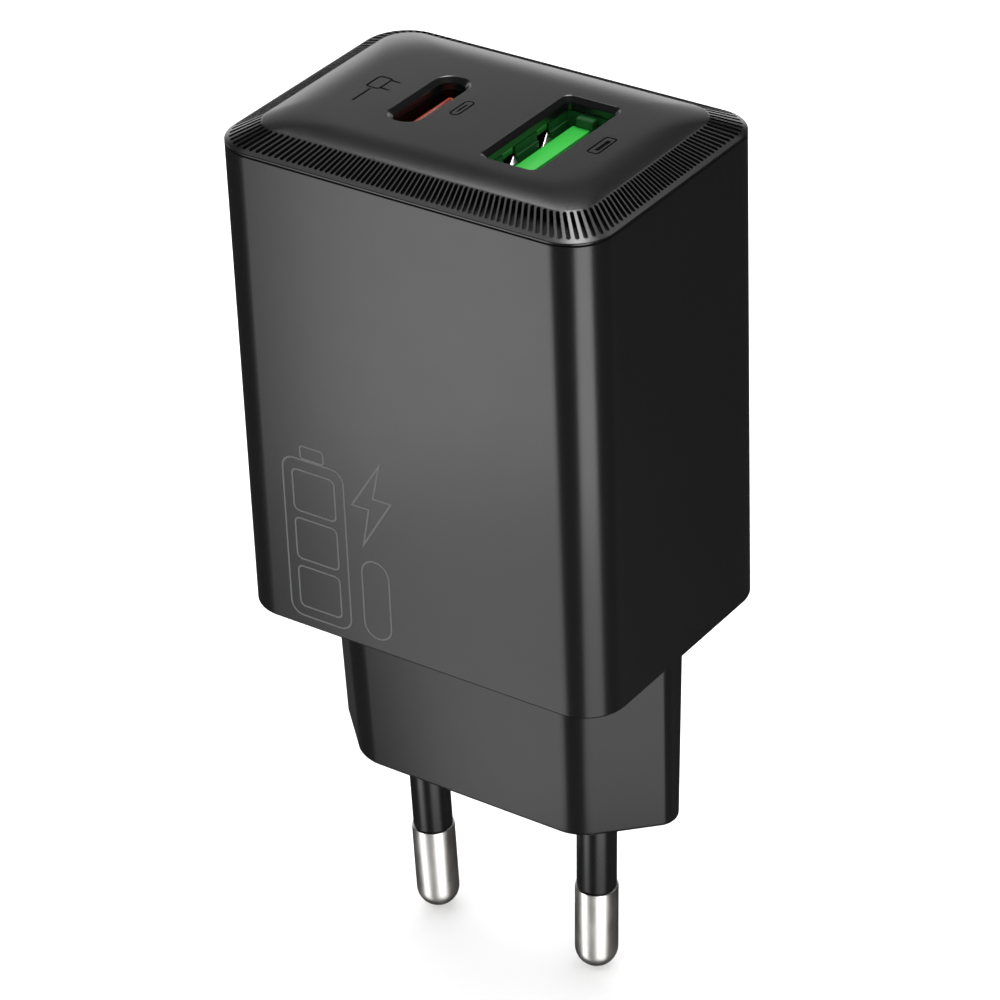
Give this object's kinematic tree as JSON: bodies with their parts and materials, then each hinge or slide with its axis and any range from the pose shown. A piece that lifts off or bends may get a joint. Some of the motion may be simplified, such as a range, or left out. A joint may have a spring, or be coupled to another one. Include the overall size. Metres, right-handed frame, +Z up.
{
  "type": "usb wall charger",
  "caption": "Compact wall charger with a flat two-pin Europlug, a black case with a finely slotted rim, and USB-A and USB-C ports on top.",
  "frame": {"origin": "centre of the plug face, midway between the two pins", "axes": "+Z up towards the ports, the pins point down along -Z, the wide front wall faces -Y, the USB-A port is on the +X side"},
  "size_m": [0.038, 0.027, 0.0843],
  "materials": {
    "case_plastic": "satin moulded black polycarbonate",
    "cover_plastic": "semi-gloss moulded black polycarbonate",
    "pin_nickel": "satin nickel-plated brass",
    "sleeve_plastic": "smooth black nylon",
    "holder_plastic": "natural PBT",
    "contact_bronze": "phosphor bronze strip",
    "board_laminate": "green solder mask",
    "ferrite": "sintered ferrite, matte",
    "black_moulding": "black phenolic",
    "copper_wire": "enamelled copper",
    "yellow_wire": "triple-insulated yellow wire",
    "yellow_tape": "polyester tape",
    "film_case": "yellow potted box",
    "disc_coating": "blue epoxy",
    "capacitor_sleeve": "dark blue shrink sleeve",
    "capacitor_can": "bare drawn can",
    "chip_epoxy": "black epoxy with tinned legs",
    "chip_ceramic": "tan ceramic with tinned ends",
    "pad_silicone": "grey-blue silicone",
    "plate_aluminium": "rolled sheet",
    "sheet_fibre": "pale insulation sheet",
    "inductor_iron": "pressed iron powder",
    "shell_steel": "nickel-plated steel strip",
    "green_moulding": "green PBT",
    "spring_steel": "stainless spring strip",
    "spring_bronze": "gold-flashed phosphor bronze",
    "red_moulding": "orange-red LCP"
  },
  "bodies": {
    "root": {"case_body": "case_plastic", "top_cover": "cover_plastic", "pin_left": "pin_nickel", "pin_right": "pin_nickel", "sleeve_left": "sleeve_plastic", "sleeve_right": "sleeve_plastic", "pin_holder": "holder_plastic", "pin_contact_left": "contact_bronze", "pin_contact_right": "contact_bronze", "main_board": "board_laminate", "port_board": "board_laminate", "transformer_core_lower": "ferrite", "transformer_core_upper": "ferrite", "transformer_bobbin": "black_moulding", "primary_winding": "copper_wire", "secondary_winding": "yellow_wire", "transformer_tape": "yellow_tape", "choke_core": "ferrite", "choke_windings": "copper_wire", "x_capacitor": "film_case", "y_capacitor": "disc_coating", "bulk_capacitor_upper": "capacitor_sleeve", "bulk_capacitor_lower": "capacitor_sleeve", "fuse": "black_moulding", "bridge_rectifier": "chip_epoxy", "gan_controller": "chip_epoxy", "rectifier_chip": "chip_epoxy", "optocoupler": "chip_epoxy", "thermal_pad": "pad_silicone", "heat_plate": "plate_aluminium", "insulation_sheet": "sheet_fibre", "output_capacitor_front": "capacitor_can", "output_capacitor_rear": "capacitor_can", "output_inductor": "inductor_iron", "protocol_chip": "chip_epoxy", "chip_passives": "chip_ceramic", "usb_a_shell": "shell_steel", "usb_a_insulator": "green_moulding", "usb_a_contact_legs": "contact_bronze", "usb_c_shell": "shell_steel", "usb_c_tongue": "red_moulding", "usb_c_mid_plate": "spring_steel", "usb_c_contacts": "spring_bronze"},
    "contact_beams": {"usb_a_contact_beams": "spring_bronze"},
    "grip_inner": {"usb_a_grip_inner": "spring_steel"},
    "grip_outer": {"usb_a_grip_outer": "spring_steel"}
  },
  "joints": [
    {"name": "contact_beams_flex", "type": "hinge", "parent": "root", "child": "contact_beams", "pos_m": [0.00705, 0, 0.05525], "axis": [0, -1, 0], "range_deg": [0, 3], "stiffness_Nm_per_rad": 0.06},
    {"name": "grip_inner_flex", "type": "hinge", "parent": "root", "child": "grip_inner", "pos_m": [0.00385, 0, 0.05645], "axis": [0, -1, 0], "range_deg": [0, 3], "stiffness_Nm_per_rad": 0.06},
    {"name": "grip_outer_flex", "type": "hinge", "parent": "root", "child": "grip_outer", "pos_m": [0.00945, 0, 0.05645], "axis": [0, 1, 0], "range_deg": [0, 3], "stiffness_Nm_per_rad": 0.06}
  ]
}
